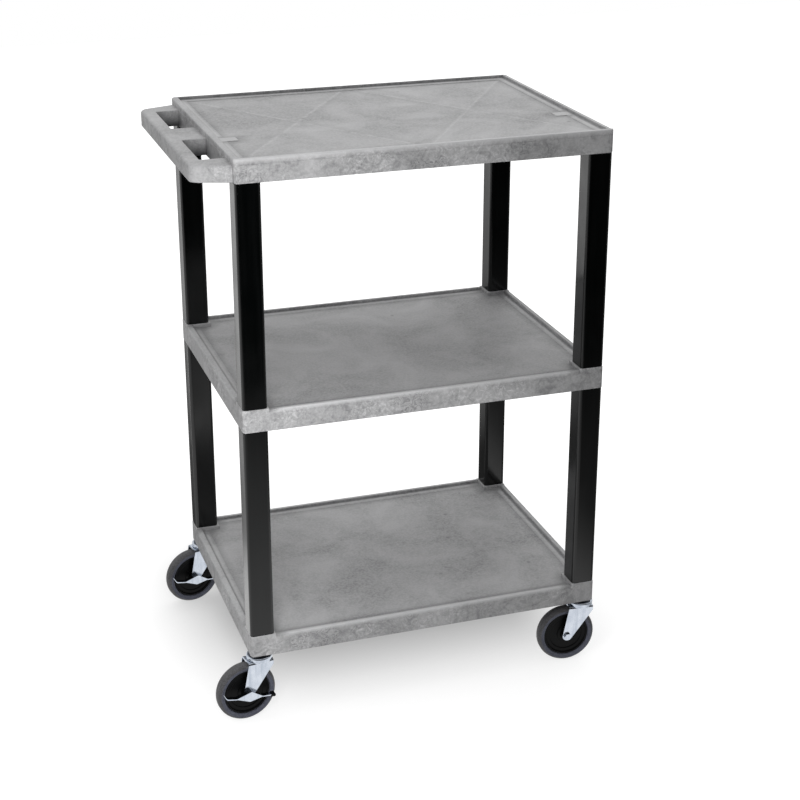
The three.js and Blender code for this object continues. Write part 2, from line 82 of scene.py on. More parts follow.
# Painted light along such distances, here in millimetres: painted shade above zero, painted
# highlight below
rim_painted_light = [
    (0, -0.2), (8.6, -0.2), (9.4, 0.5), (10.4, 1.2), (12.2, 0.7), (13.4, -0.35), (20.8, -0.35),
    (22.2, 0.7), (23, 0.7), (26, 0.15), (34, 0),
]
front_painted_light = [
    (0, -0.7), (5, -0.7), (6.6, 1.2), (8, 0.7), (9, -0.35), (12, -0.35), (14.4, 0.9), (18, 0.9),
    (23, 0.2), (34, 0),
]
pad_painted_light = [(-5, 0), (-1.4, -0.5), (-0.6, 0), (0, 1), (0.8, 1), (2, 0.5), (7, 0)]
tab_painted_light = [(-2, 0), (-0.4, 0.8), (0.4, -0.4), (2, -0.4)]
tab_root = 13 * mm
tab_reach = 40 * mm
tab_start = 134 * mm
tab_end = 157 * mm
tab_height = -4.9 * mm
tab_slope = 0.4 * mm
socket_side = 29.6 * mm
socket_depth = 16.3 * mm
boss_side = 38.6 * mm
skirt_wall = 5 * mm
deck_thickness = 5 * mm
rib_thickness = 4 * mm
pocket_draft = 0.7 * mm
pockets_along = 7
pockets_across = 5
parting_drop = 9.4 * mm
parting_width = 0.5 * mm
parting_depth = 0.4 * mm
deck_step = 24 * mm
sleeve_bore = 8.6 * mm
overrun = 1 * mm
tolerance = 0.01 * mm
around = 72


def rounded(points, step=0.3):
    """The corners (x, y, radius) of an outline as points, with arcs of about step radians."""
    result = []
    for i, (x, y, radius) in enumerate(points):
        here = Vector((x, y))
        before = Vector(points[i - 1][:2]) - here
        after = Vector(points[(i + 1) % len(points)][:2]) - here
        if not radius:
            result.append((x, y))
            continue
        opening = before.angle(after)
        reach = radius / tan(opening / 2)
        centre = here + (before.normalized() + after.normalized()).normalized() * (
            radius / sin(opening / 2))
        first = here + before.normalized() * reach - centre
        turn = first.angle_signed(here + after.normalized() * reach - centre)
        count = max(2, ceil(abs(turn) / step))
        for k in range(count + 1):
            spoke = first.copy()
            spoke.rotate(Matrix.Rotation(-turn * k / count, 2))
            result.append(tuple(centre + spoke))
    return result


def value_at(profile, distance):
    """The value of a profile of rising distances at one distance."""
    if distance <= profile[0][0]:
        return profile[0][1]
    for (d0, z0), (d1, z1) in zip(profile, profile[1:]):
        if distance <= d1:
            return z0 + (z1 - z0) * (distance - d0) / (d1 - d0)
    return profile[-1][1]


def edge_drop(distance, radius):
    """How far a rounded edge lies below its face at that distance in from the side."""
    if distance >= radius:
        return 0
    return radius - sqrt(max(0, radius ** 2 - (radius - distance) ** 2))


def stations(low, high, marks, step):
    """Places along one side: marks in from both ends, and between them at most a step apart."""
    first, *others = sorted({round(place, 6) for m in marks for place in (low + m, high - m)})
    filled = [first]
    for place in others:
        start = filled[-1]
        count = max(1, ceil((place - start) / step))
        filled += [start + (place - start) * (k + 1) / count for k in range(count)]
    return filled


def pocket_walls(low, high, count):
    """The two walls of each pocket between the ribs, from one skirt to the other."""
    inner = high - low - 2 * skirt_wall
    pitch = (inner + rib_thickness) / count
    first = low + skirt_wall
    return [(first + i * pitch, first + (i + 1) * pitch - rib_thickness) for i in range(count)]


def from_sides(x, y):
    """How far a place is from the nearest end, from the back and from the front of a shelf."""
    return min(x - shelf_low.x, shelf_high.x - x), shelf_high.y - y, y - shelf_low.y


def painted_light_at(x, y, pads):
    """Painted shade in the walls, grooves and corners of a deck as a share above zero, and painted
    highlight on its edges and ledges below.
    """
    ends, back, front = from_sides(x, y)
    by_rim = value_at(rim_painted_light, min(ends, back) / mm)
    by_lip = value_at(front_painted_light, front / mm)
    share = max(by_rim, by_lip, key=abs)
    if min(ends, back) < rim_flat or front < lip_flat:
        share = min(by_rim, by_lip)
    if pads:
        past = max(ends, min(back, front)) - pad_side
        by_pad = value_at(pad_painted_light, past / mm)
        return by_pad if past < 0 else max(share, by_pad, key=abs)
    inside = min(ends - tab_root, tab_reach - ends, front - tab_start, tab_end - front) / mm
    return value_at(tab_painted_light, inside) if inside > tab_painted_light[0][0] else share


def shelf_shape(level_top, pads, lower_sockets):
    """The closed mesh of one shelf: a grid for its upper side, one for its ribs, and its skirts."""
    lip_drop = front_drop if pads else 0
    x0, x1, y0, y1 = shelf_low.x, shelf_high.x, shelf_low.y, shelf_high.y
    rim = sorted(rounded(rim_profile))
    front_lip = sorted(rounded(front_profile))
    pad = sorted(rounded(pad_profile))
    leg_middle = leg_inset + leg_side / 2
    marks = [top_edge_round * (1 - cos(radians(a))) for a in range(0, 91, 18)]
    marks += [corner_round * part / 6 for part in (3, 4, 5, 6)]
    marks += [d for d, z in rim + front_lip]
    slit = 0.15 * mm
    for half in (socket_side / 2, boss_side / 2):
        marks += [leg_middle - half - slit, leg_middle - half, leg_middle + half,
                  leg_middle + half + slit]
    marks += [pad_side + d for d, z in pad if pads]
    if not pads:
        marks += [edge + d for edge in (tab_reach, tab_start, tab_end)
                  for d in (-tab_slope, tab_slope)]
    walls_x = pocket_walls(x0, x1, pockets_along)
    walls_y = pocket_walls(y0, y1, pockets_across)
    for low, high, walls in ((x0, x1, walls_x), (y0, y1, walls_y)):
        for near, far in walls:
            marks_here = [near - low, near - low + pocket_draft, far - low - pocket_draft, far - low]
            marks += [m for m in marks_here if m < (high - low) / 2 + overrun]
    xs = stations(x0, x1, [m for m in marks if m < (x1 - x0) / 2], deck_step)
    ys = stations(y0, y1, [m for m in marks if m < (y1 - y0) / 2], deck_step)

    def moved(x, y):
        """A place of the grid, drawn in where the shelf's corners are round."""
        u, back, front = from_sides(x, y)
        v = min(back, front)
        inset = min(u, v)
        if max(u, v) >= corner_round or inset >= corner_round - tolerance:
            return x, y
        share = (corner_round - max(u, v)) / (corner_round - inset)
        angle = pi / 4 * share if u <= v else pi / 2 - pi / 4 * share
        radius = corner_round - inset
        u = corner_round - radius * cos(angle)
        v = corner_round - radius * sin(angle)
        return (x0 + u if x - x0 < x1 - x else x1 - u), (y0 + v if y - y0 < y1 - y else y1 - v)

    def in_square(x, y, side):
        """How deep a place lies inside the nearest leg's square of that side."""
        ends, back, front = from_sides(x, y)
        return side / 2 - max(abs(ends - leg_middle), abs(min(back, front) - leg_middle))

    def upper(x, y):
        """The height of the deck, rim, lip, pads, tabs and sockets at a place."""
        ends, back, front = from_sides(x, y)
        low, z = sorted((value_at(rim, min(ends, back)), value_at(front_lip, front) - lip_drop))
        if z <= -rim_height + tolerance:
            z = low
        if pads:
            z = max(z, value_at(pad, max(ends, min(back, front)) - pad_side))
            if in_square(x, y, socket_side) > -slit / 2:
                return level_top - socket_depth
        else:
            inside = min(tab_reach - ends, front - tab_start, tab_end - front)
            fall = min(0, (inside - tab_slope) / (2 * tab_slope))
            z = max(z, tab_height + fall * (rim_height + tab_height))
        return level_top + z - edge_drop(min(ends, back, front), top_edge_round)

    def under(x, y):
        """The height of the underside, with its ribs, bosses and sockets, at a place."""
        deep = min(max(min(x - a, b - x) for a, b in walls_x),
                   max(min(y - a, b - y) for a, b in walls_y),
                   -in_square(x, y, boss_side))
        lift = min(1, max(0, deep / pocket_draft)) * (shelf_height - rim_height - deck_thickness)
        if lower_sockets and in_square(x, y, socket_side) > -slit / 2:
            lift = socket_depth
        return level_top - shelf_height + lift + edge_drop(min(from_sides(x, y)), foot_edge_round)

    wide, deep = len(xs), len(ys)
    points, faces = [], []
    for surface in (upper, under):
        for y in ys:
            points += [(*moved(x, y), surface(x, y)) for x in xs]
    for j in range(deep - 1):
        for i in range(wide - 1):
            a = j * wide + i
            quad = (a, a + 1, a + wide + 1, a + wide)
            faces.append(quad)
            faces.append(tuple(wide * deep + k for k in reversed(quad)))
    edge = [*range(wide)] + [j * wide + wide - 1 for j in range(1, deep)]
    edge += [(deep - 1) * wide + i for i in range(wide - 2, -1, -1)]
    edge += [j * wide for j in range(deep - 2, 0, -1)]
    rings = [edge]
    for drop, depth in ((parting_drop - parting_width, 0), (parting_drop, parting_depth),
                        (parting_drop + parting_width, 0)):
        ring = []
        for k in edge:
            here = Vector(points[k][:2])
            near = Vector((min(max(here.x, x0 + corner_round), x1 - corner_round),
                           min(max(here.y, y0 + corner_round), y1 - corner_round)))
            here -= (here - near).normalized() * depth
            ring.append(len(points))
            points.append((here.x, here.y, level_top - drop))
        rings.append(ring)
    rings.append([wide * deep + k for k in edge])
    for above, below in zip(rings, rings[1:]):
        for k in range(len(edge)):
            n = (k + 1) % len(edge)
            faces.append((above[n], above[k], below[k], below[n]))
    return points, faces


def tidied(shape):
    """A bmesh with doubled points merged, slivers dissolved and its normals turned outwards."""
    weld = 0.001 * mm
    bmesh.ops.remove_doubles(shape, verts=shape.verts, dist=weld)
    bmesh.ops.dissolve_degenerate(shape, edges=shape.edges, dist=weld)
    loose = [edge for edge in shape.edges if edge.is_wire]
    bmesh.ops.delete(shape, geom=loose, context="EDGES")
    bmesh.ops.recalc_face_normals(shape, faces=shape.faces)
    return shape


def loft(rings, wrap=False):
    """A closed bmesh through rings of equally many points: capped at its ends, or joined up."""
    shape = bmesh.new()
    rows = [[shape.verts.new(point) for point in ring] for ring in rings]
    count = len(rows[0])
    pairs = list(zip(rows, rows[1:])) + ([(rows[-1], rows[0])] if wrap else [])
    for near, far in pairs:
        for k in range(count):
            n = (k + 1) % count
            shape.faces.new((near[k], near[n], far[n], far[k]))
    if not wrap:
        shape.faces.new(list(reversed(rows[0])))
        shape.faces.new(rows[-1])
    return tidied(shape)


def placed(name, data):
    """A new object in the scene, of a mesh, a lamp or a camera."""
    thing = bpy.data.objects.new(name, data)
    scene.collection.objects.link(thing)
    return thing


def solid(name, shape):
    """An object of a bmesh, which is used up."""
    mesh = bpy.data.meshes.new(name)
    shape.to_mesh(mesh)
    shape.free()
    return placed(name, mesh)


def settle(thing):
    """Applies the modifiers of a mesh object."""
    bpy.context.view_layer.update()
    shown = thing.evaluated_get(bpy.context.evaluated_depsgraph_get())
    mesh = bpy.data.meshes.new_from_object(shown)
    thing.modifiers.clear()
    thing.data = mesh
    return thing


def combine(thing, tool, operation):
    """Joins, cuts or intersects a mesh object with a tool, which is used up."""
    step = thing.modifiers.new("step", "BOOLEAN")
    step.operation = operation
    step.object = tool
    step.solver = "EXACT"
    settle(thing)
    bpy.data.objects.remove(tool)
    return thing


def turned(name, profile, axis="Z", at=(0, 0, 0), count=around):
    """Turned work from a closed profile of (radius, height, corner radius) about an axis."""
    points = rounded(profile, 0.35)
    turns = [2 * pi * k / count for k in range(count)]
    rings = [[(r * cos(a), r * sin(a), h) for r, h in points] for a in turns]
    if axis == "Y":
        rings = [[(x, h, y) for x, y, h in ring] for ring in rings]
    shape = loft(rings, wrap=True)
    bmesh.ops.translate(shape, verts=shape.verts, vec=at)
    return solid(name, shape)


def mark(thing, name, share_at):
    """Stores a share at every point of a mesh object, for its material."""
    shares = thing.data.attributes.new(name, "FLOAT", "POINT")
    shares.data.foreach_set("value", [share_at(v.co) for v in thing.data.vertices])


def fit(thing, node, body, material, soft_angle=38):
    """Puts a mesh object in place of its node, on its body, with its material and shading."""
    mesh = thing.data
    mesh.materials.clear()
    mesh.materials.append(material)
    mesh.polygons.foreach_set("use_smooth", [True] * len(mesh.polygons))
    mesh.set_sharp_from_angle(angle=radians(soft_angle))
    even = thing.modifiers.new("even_normals", "WEIGHTED_NORMAL")
    even.keep_sharp = True
    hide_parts(node)
    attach(thing, body)


def linear(code):
    """An sRGB hex colour such as "#a6a6a8" as linear red, green, blue and alpha."""
    parts = [int(code[i:i + 2], 16) / 255 for i in (1, 3, 5)]
    return [c / 12.92 if c <= 0.04045 else ((c + 0.055) / 1.055) ** 2.4 for c in parts] + [1]


def feed(node, inputs):
    """Sets or links inputs of a shader node: numbers, hex colours, nodes or their sockets."""
    for socket, value in inputs.items():
        if isinstance(value, bpy.types.ShaderNode):
            value = next(output for output in value.outputs if output.enabled)
        if isinstance(value, bpy.types.NodeSocket):
            node.id_data.links.new(value, node.inputs[socket])
        else:
            node.inputs[socket].default_value = linear(value) if isinstance(value, str) else value
    return node


def add(tree, kind, inputs, **settings):
    """Adds a shader node with its settings, and feeds it its inputs."""
    node = tree.nodes.new("ShaderNode" + kind)
    for name, value in settings.items():
        setattr(node, name, value)
    return feed(node, inputs)


def finish(name, values):
    """A new material: its node tree, its shader with those values, and places on the object."""
    material = bpy.data.materials.new(name)
    material.use_nodes = True
    tree = material.node_tree
    shader = feed(tree.nodes["Principled BSDF"], values)
    return material, tree, shader, add(tree, "TexCoord", {}).outputs["Object"]


# Structural foam polyethylene, moulded: gas in the melt leaves pale swirls on the skirts and soft
# clouds on the decks. Its grain of about 2 mm is drawn twice as coarse, so that it shows.
foam, tree, shader, place = finish("structural_foam_polyethylene_moulded", {
    "Roughness": 0.55, "IOR": 1.51})
normal = add(tree, "TexCoord", {}).outputs["Normal"]
facing = add(tree, "SeparateXYZ", {0: normal}).outputs["Z"]
upright = add(tree, "MapRange", {"Value": facing, "From Min": 0.7, "From Max": 0.3})


def blotches(size, low, high, **more):
    """A share from 0 to 1 of the material at hand, between two values of a noise of that size."""
    noise = add(tree, "TexNoise", {"Vector": place, "Scale": 1 / size, **more})
    return add(tree, "MapRange", {"Value": noise, "From Min": low, "From Max": high})


def coat(tone, colour, *shares):
    """A colour laid over the tone, as strongly as the product of the shares."""
    strength = shares[0]
    for share in shares[1:]:
        strength = add(tree, "Math", {0: strength, 1: share}, operation="MULTIPLY")
    return add(tree, "Mix", {0: strength, 6: tone, 7: colour}, data_type="RGBA")


def off(value, line):
    """How far a value is from a line, on either side of it."""
    past = add(tree, "Math", {0: value, 1: line}, operation="SUBTRACT")
    return add(tree, "Math", {0: past}, operation="ABSOLUTE")


clouds = blotches(120 * mm, 0.34, 0.66, Detail=4, Roughness=0.6, Distortion=0.6)
mottle = blotches(17 * mm, 0.36, 0.64, Detail=4, Roughness=0.65, Distortion=1.2)
grain = blotches(4.2 * mm, 0.42, 0.6, Detail=3, Roughness=0.75)
pits = blotches(5 * mm, 0.6, 0.74, Detail=4, Roughness=0.75)
swirl_patch = blotches(80 * mm, 0.42, 0.6, Detail=1)
swirl = blotches(13 * mm, 0.48, 0.66, Detail=5, Roughness=0.68, Distortion=2.2)
smoke = blotches(26 * mm, 0.5, 0.7, Detail=4, Roughness=0.7, Distortion=1.6)
tone = coat("#828283", "#b2b2b3", clouds)
tone = coat(tone, "#b9b9ba", mottle, 0.45)
tone = coat(tone, "#c2c2c3", grain, 0.42)
tone = coat(tone, "#606062", pits, 0.35)
tone = coat(tone, "#d2d2d3", swirl, swirl_patch, upright, 0.9)
tone = coat(tone, "#6f6f71", smoke, upright, 0.6)

# Thin dark curls on the skirts, and a few specks of burnt plastic, 4 to 9 mm wide, all over
fold = add(tree, "TexNoise", {"Vector": place, "Scale": 1 / (22 * mm), "Detail": 1.5,
                              "Distortion": 0.8})
wave = add(tree, "Math", {0: fold, 1: 75}, operation="MULTIPLY")
ripple = add(tree, "Math", {0: wave}, operation="SINE")
curl = add(tree, "MapRange", {"Value": ripple, "From Min": 0.2, "From Max": 0.9})
curl_patch = blotches(64 * mm, 0.55, 0.66, Detail=1)
tone = coat(tone, "#6c6c6e", curl, curl_patch, upright, 0.55)
specks = add(tree, "TexVoronoi", {"Vector": place, "Scale": 1 / (85 * mm)})
burnt = add(tree, "MapRange", {"Value": specks, "From Min": 0.055, "From Max": 0.025,
                               "To Max": 0.5})
tone = coat(tone, "#565658", burnt)

# Painted shade in the walls, grooves and corners, and painted highlight on the edges and ledges
painted_light = add(tree, "Attribute", {}, attribute_name="painted_light").outputs["Fac"]
painted_shade = add(tree, "MapRange", {"Value": painted_light, "From Max": 2.4})
painted_highlight = add(tree, "MapRange", {"Value": painted_light, "From Max": -1})
tone = coat(tone, "#2e2e30", painted_shade)
tone = coat(tone, "#d0d0d1", painted_highlight)

# Two pairs of shallow creases cross on the top deck, each with a painted highlight along its crest
# and painted shade on one side
deck_middle = (shelf_low + shelf_high) / 2
crease_run = 146 * mm
crease_rise = 222 * mm
along, across, height = add(tree, "SeparateXYZ", {0: place}).outputs
from_cross = off(off(along, deck_middle.x), crease_run)
slant = add(tree, "Math", {0: off(across, deck_middle.y), 1: crease_run / crease_rise},
            operation="MULTIPLY")
past_crease = add(tree, "Math", {0: from_cross, 1: slant}, operation="SUBTRACT")
from_crease = add(tree, "Math", {0: past_crease}, operation="ABSOLUTE")
crease = add(tree, "MapRange", {"Value": from_crease, "From Min": 9 * mm, "From Max": 0},
             interpolation_type="SMOOTHSTEP")
on_top = add(tree, "Math", {0: height, 1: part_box("top_shelf")[0].z}, operation="GREATER_THAN")
level_face = add(tree, "MapRange", {"Value": facing, "From Min": 0.9, "From Max": 1})
on_deck = add(tree, "Math", {0: on_top, 1: level_face}, operation="MULTIPLY")
crease_highlight = add(tree, "MapRange", {"Value": from_crease, "From Min": 5 * mm, "From Max": 1.5 * mm})
crease_shade = add(tree, "MapRange", {"Value": past_crease, "From Min": 24 * mm, "From Max": 3 * mm})
crease_shade_side = add(tree, "Math", {0: past_crease, 1: 0}, operation="GREATER_THAN")
tone = coat(tone, "#6a6a6c", crease_shade, crease_shade_side, on_deck, 0.16)
tone = coat(tone, "#cbcbcc", crease_highlight, on_deck, mottle, 0.5)

gloss = add(tree, "MapRange", {"Value": mottle, "To Min": 0.48, "To Max": 0.64})
relief = add(tree, "Math", {0: grain, 1: swirl}, operation="ADD")
skin = add(tree, "Bump", {"Height": relief, "Strength": 0.5, "Distance": 0.06 * mm})
crease_height = add(tree, "Math", {0: crease, 1: on_deck}, operation="MULTIPLY")
skin = add(tree, "Bump", {"Height": crease_height, "Strength": 0.5, "Distance": 0.6 * mm,
                          "Normal": skin})
feed(shader, {"Base Color": tone, "Roughness": gloss, "Normal": skin})

joints = {joint["name"]: joint for joint in frame["joints"]}
corners = ("front_left", "front_right", "back_left", "back_right")
for level in ("bottom", "middle", "top"):
    shelf_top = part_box(f"{level}_shelf")[1].z
    pads, sockets = level != "top", level != "bottom"
    points, faces = shelf_shape(shelf_top, pads, sockets)
    mesh = bpy.data.meshes.new(f"{level}_shelf_moulding")
    mesh.from_pydata(points, [], faces)
    shelf = placed(f"{level}_shelf_moulding", mesh)
    for corner in () if sockets else corners:
        socket_floor = shelf_height - socket_depth
        bore = turned("bore", [
            (0, -overrun, 0), (sleeve_bore, -overrun, 0),
            (sleeve_bore, socket_floor + overrun, 0), (0, socket_floor + overrun, 0),
        ], at=joints[f"caster_swivel_{corner}"]["pos_m"])
        combine(shelf, bore, "DIFFERENCE")
    # Painted shade and painted highlight of the rims, lip, pads and tabs, stored at each point of
    # the deck
    deck_foot = shelf_top - groove_drop - tolerance
    mark(shelf, "painted_light", lambda co: painted_light_at(co.x, co.y, pads) if co.z > deck_foot else 0)
    fit(shelf, f"{level}_shelf", "root", foam)

# The push handle
# It is moulded in one with the left end of the top shelf: a bar held off by slanting arms, with
# two finger slots. Its upper face lies a little below the deck, and its outer edge is rounded.
handle_low, handle_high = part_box("top_shelf")
handle_drop = 11 * mm
handle_round = 5 * mm
handle_foot_round = 2 * mm
handle_corner = 16 * mm
handle_bar = 22 * mm
handle_root_half = 218 * mm
handle_bar_half = 197 * mm
handle_buried = 3 * mm
slot_bridge = 80 * mm
slot_length = 130 * mm
slot_round = 1.6 * mm
slot_corner = 4 * mm
slot_root_gap = 0.3 * mm
slot_root_corner = 1 * mm
slot_dark_depth = 16 * mm


def edge_rows(low, high, low_round, high_round):
    """Heights of a block whose edges are rounded, each with how far its sides draw in there."""
    quarter = [(1 - sin(radians(a)), 1 - cos(radians(a))) for a in range(0, 91, 15)]
    rows = [(low + low_round * up, low_round * draw) for up, draw in quarter[::-1]]
    return rows + [(high - high_round * down, high_round * draw) for down, draw in quarter]


def ease(thing, width, steps=3, angle=40):
    """Rounds the edges of a mesh object that are sharper than the angle."""
    bevel = thing.modifiers.new("edges", "BEVEL")
    bevel.width = width
    bevel.segments = steps
    bevel.limit_method = "ANGLE"
    bevel.angle_limit = radians(angle)
    settle(thing)
    shape = bmesh.new()
    shape.from_mesh(thing.data)
    if any(len(edge.link_faces) != 2 for edge in shape.edges):
        tidied(shape).to_mesh(thing.data)
    shape.free()
    return thing


handle_top = handle_high.z - handle_drop
root_x = shelf_low.x
bar_x = handle_low.x
middle_y = (shelf_low.y + shelf_high.y) / 2
arm_slope = (handle_root_half - handle_bar_half) / (root_x - bar_x)
arm_lean = hypot(1, arm_slope)
rings = []
for z, inset in edge_rows(handle_low.z, handle_top, handle_foot_round, handle_round):
    root_half = handle_root_half - inset * arm_lean
    bar_half = handle_bar_half - inset * (arm_lean - arm_slope)
    rings.append([(x, y, z) for x, y in rounded([
        (root_x + handle_buried, middle_y - root_half, 0),
        (root_x + handle_buried, middle_y + root_half, 0),
        (root_x, middle_y + root_half, 0),
        (bar_x + inset, middle_y + bar_half, handle_corner - inset),
        (bar_x + inset, middle_y - bar_half, handle_corner - inset),
        (root_x, middle_y - root_half, 0),
    ], 0.12)])
handle = solid("push_handle_moulding", loft(rings))
slot_width = root_x - bar_x - handle_bar


def slot_painted_shade(co):
    """Painted shade on the walls of the finger slots: a share that grows downwards and backwards."""
    slot_y = middle_y + copysign((slot_bridge + slot_length) / 2, co.y - middle_y)
    past_bar = co.x - root_x + slot_width + slot_round
    from_slot = abs(co.y - slot_y) - slot_length / 2 - slot_round
    if past_bar < -tolerance or from_slot > tolerance:
        return 0
    depth = min(1, max(0, (handle_top - co.z) / slot_dark_depth))
    return depth * (2.4 if co.y > slot_y else 0.9)


for side in (-1, 1):
    slot_y = middle_y + side * (slot_bridge + slot_length) / 2
    rows = edge_rows(handle_low.z, handle_top, slot_round, slot_round)
    rows = [(handle_low.z - overrun, slot_round)] + rows + [(handle_high.z, slot_round)]
    rings = []
    for z, grown in rows:
        left, right = root_x - slot_width - grown, root_x - slot_root_gap
        near, far = slot_y - slot_length / 2 - grown, slot_y + slot_length / 2 + grown
        rings.append([(x, y, z) for x, y in rounded([
            (left, near, slot_corner + grown), (right, near, slot_root_corner),
            (right, far, slot_root_corner), (left, far, slot_corner + grown)])])
    combine(handle, solid("slot", loft(rings)), "DIFFERENCE")
# Painted shade on the slot walls, stored at each point
mark(handle, "painted_light", slot_painted_shade)
fit(handle, "top_shelf", "root", foam)

# The eight legs
# Square tubes of polypropylene, moulded in black, between the shelves. A hollow spigot on each
# end presses into the corner socket of the shelf above or below.
leg_corner = 6 * mm
spigot_side = 29 * mm
spigot_wall = 3 * mm
spigot_length = 16 * mm
spigot_corner = 2 * mm
spigot_tip_corner = 1.5 * mm
spigot_lead = 1 * mm
bore_corner = 1 * mm
leg_edge = 0.5 * mm
# From an end of the leg inwards: (side of the square, corner radius, distance from the end)
leg_end_profile = [
    (spigot_side - 2 * spigot_wall, bore_corner, 0),
    (spigot_side - 2 * spigot_lead, spigot_tip_corner, 0),
    (spigot_side, spigot_corner, spigot_lead), (spigot_side, spigot_corner, spigot_length),
    (leg_side - 2 * leg_edge, leg_corner, spigot_length),
    (leg_side - 0.6 * leg_edge, leg_corner, spigot_length + 0.3 * leg_edge),
    (leg_side, leg_corner, spigot_length + leg_edge),
]

# Polypropylene, moulded black: a satin skin with faint flow lines down the leg, so that the faces
# turned to the light look grey and the others almost black. Its fine grain is drawn at 1.4 mm.
black, tree, shader, place = finish("polypropylene_black_moulded", {"IOR": 1.49})
flow_path = add(tree, "Mapping", {"Vector": place, "Scale": (1, 1, 0.04)})
flow = add(tree, "TexNoise", {"Vector": flow_path, "Scale": 1 / (7 * mm), "Detail": 3})
lines = add(tree, "MapRange", {"Value": flow, "From Min": 0.35, "From Max": 0.65})
dust = blotches(60 * mm, 0.3, 0.7, Detail=5)
gloss = add(tree, "MapRange", {"Value": dust, "To Min": 0.12, "To Max": 0.24})
grain = add(tree, "TexNoise", {"Vector": place, "Scale": 1 / (1.4 * mm), "Detail": 2})
relief = add(tree, "Math", {0: grain, 1: flow}, operation="ADD")
skin = add(tree, "Bump", {"Height": relief, "Strength": 0.35, "Distance": 0.03 * mm})
feed(shader, {"Base Color": coat("#020303", "#060707", lines), "Roughness": gloss,
              "Normal": skin})


def square_ring(x, y, side, radius, z):
    """A level ring of points round a square with rounded corners."""
    half = side / 2
    square = [(x - half, y - half, radius), (x + half, y - half, radius),
              (x + half, y + half, radius), (x - half, y + half, radius)]
    return [(*point, z) for point in rounded(square)]


for bay in ("lower", "upper"):
    for corner in corners:
        node = f"{bay}_leg_{corner}"
        low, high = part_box(node)
        x, y = (low.x + high.x) / 2, (low.y + high.y) / 2
        rings = [(side, radius, low.z + up) for side, radius, up in leg_end_profile]
        rings += [(side, radius, high.z - down) for side, radius, down in leg_end_profile[::-1]]
        shape = loft([square_ring(x, y, *ring) for ring in rings], wrap=True)
        fit(solid(f"{node}_tube", shape), node, "root", black)

# The caster stems and races
# A zinc plated steel stem presses into a nylon sleeve in the shelf. Its collar sits on the dished
# race cap, whose rim hides a ring of loose steel balls, and its riveted foot carries the fork.
casters = {}
for corner in corners:
    pivot = Vector(joints[f"caster_swivel_{corner}"]["pos_m"])
    axis = joints[f"wheel_spin_{corner}"]["axis"]
    turn = Matrix.Rotation(atan2(axis[0], -axis[1]), 4, "Z")
    casters[corner] = Matrix.Translation(pivot) @ turn
pivot = Vector(joints["caster_swivel_front_left"]["pos_m"])
axle = casters["front_left"].inverted() @ Vector(joints["wheel_spin_front_left"]["pos_m"])
seat_gap = 0.3 * mm
stem_radius = 5.5 * mm
stem_length = 30 * mm
collar_radius = 9 * mm
collar_foot = -seat_gap - 2 * mm
cap_radius = 21.5 * mm
cap_top = collar_foot - seat_gap
cap_thickness = 2.2 * mm
cap_under = cap_top - cap_thickness
cap_rim_foot = cap_under - 4.2 * mm
ball_radius = 2.1 * mm
ball_track = 16 * mm
ball_middle = cap_under - seat_gap - ball_radius
ball_count = 23
fork_top = ball_middle - ball_radius - seat_gap
fork_sheet = 2.3 * mm
fork_under = fork_top - fork_sheet
king_pin = 4.5 * mm
rivet_top = fork_under - seat_gap
rivet_radius = 8 * mm
rivet_thickness = 2.6 * mm
rivet_foot = rivet_top - rivet_thickness
rivet_dome = 1.8 * mm
stem_lead = 1.2 * mm
cap_round = 2.2 * mm
cap_bore = king_pin + seat_gap
cap_inner = cap_radius - cap_thickness
sleeve_outer = sleeve_bore - seat_gap
sleeve_inner = stem_radius + seat_gap
sleeve_height = shelf_height - socket_depth - seat_gap

# Steel, bright zinc plated: a cool, soft mirror with paler and darker bands and a mottled bloom.
# Its rolling lines are drawn about 1 mm wide, much wider than the real ones, so that they show.
zinc, tree, shader, place = finish("steel_bright_zinc_plated", {"Metallic": 1})
bloom = blotches(14 * mm, 0.3, 0.7, Detail=2)
bands_path = add(tree, "Mapping", {"Vector": place, "Scale": (1, 1, 0.08)})
bands = blotches(7 * mm, 0.45, 0.65, Vector=bands_path)
tone = coat(coat("#b9c0cb", "#ced4dd", bloom), "#9aa3b1", bands, 0.45)
gloss = add(tree, "MapRange", {"Value": bloom, "To Min": 0.15, "To Max": 0.25})
rolled_path = add(tree, "Mapping", {"Vector": place, "Scale": (0.06, 1, 1)})
rolled = add(tree, "TexNoise", {"Vector": rolled_path, "Scale": 1 / (0.9 * mm), "Detail": 2})
skin = add(tree, "Bump", {"Height": rolled, "Strength": 0.05, "Distance": 0.02 * mm})
feed(shader, {"Base Color": tone, "Roughness": gloss, "Normal": skin})

# Bearing steel, ground: darker and sharper than the plating, with an oily variation in gloss.
bearing, tree, shader, place = finish("bearing_steel_ground", {"Metallic": 1})
oil = add(tree, "TexNoise", {"Vector": place, "Scale": 1 / (3 * mm), "Detail": 3})
gloss = add(tree, "MapRange", {"Value": oil, "To Min": 0.1, "To Max": 0.4})
feed(shader, {"Base Color": coat("#7f8287", "#b5b8bd", oil), "Roughness": gloss})

# Nylon, moulded black: a dull, slightly waxy skin. Its fine grain is drawn at 1.2 mm to show.
nylon, tree, shader, place = finish("nylon_black_moulded", {
    "Roughness": 0.42, "IOR": 1.53, "Specular IOR Level": 0.1})
grain = add(tree, "TexNoise", {"Vector": place, "Scale": 1 / (1.2 * mm), "Detail": 4})
skin = add(tree, "Bump", {"Height": grain, "Strength": 0.4, "Distance": 0.05 * mm})
feed(shader, {"Base Color": coat("#020202", "#08090a", grain), "Normal": skin})


def mount(thing, kind, corner, body, material):
    """Sets a caster piece, made about its pivot, at its corner, and fits it there."""
    thing.data.transform(casters[corner])
    fit(thing, f"{kind}_{corner}", body, material)


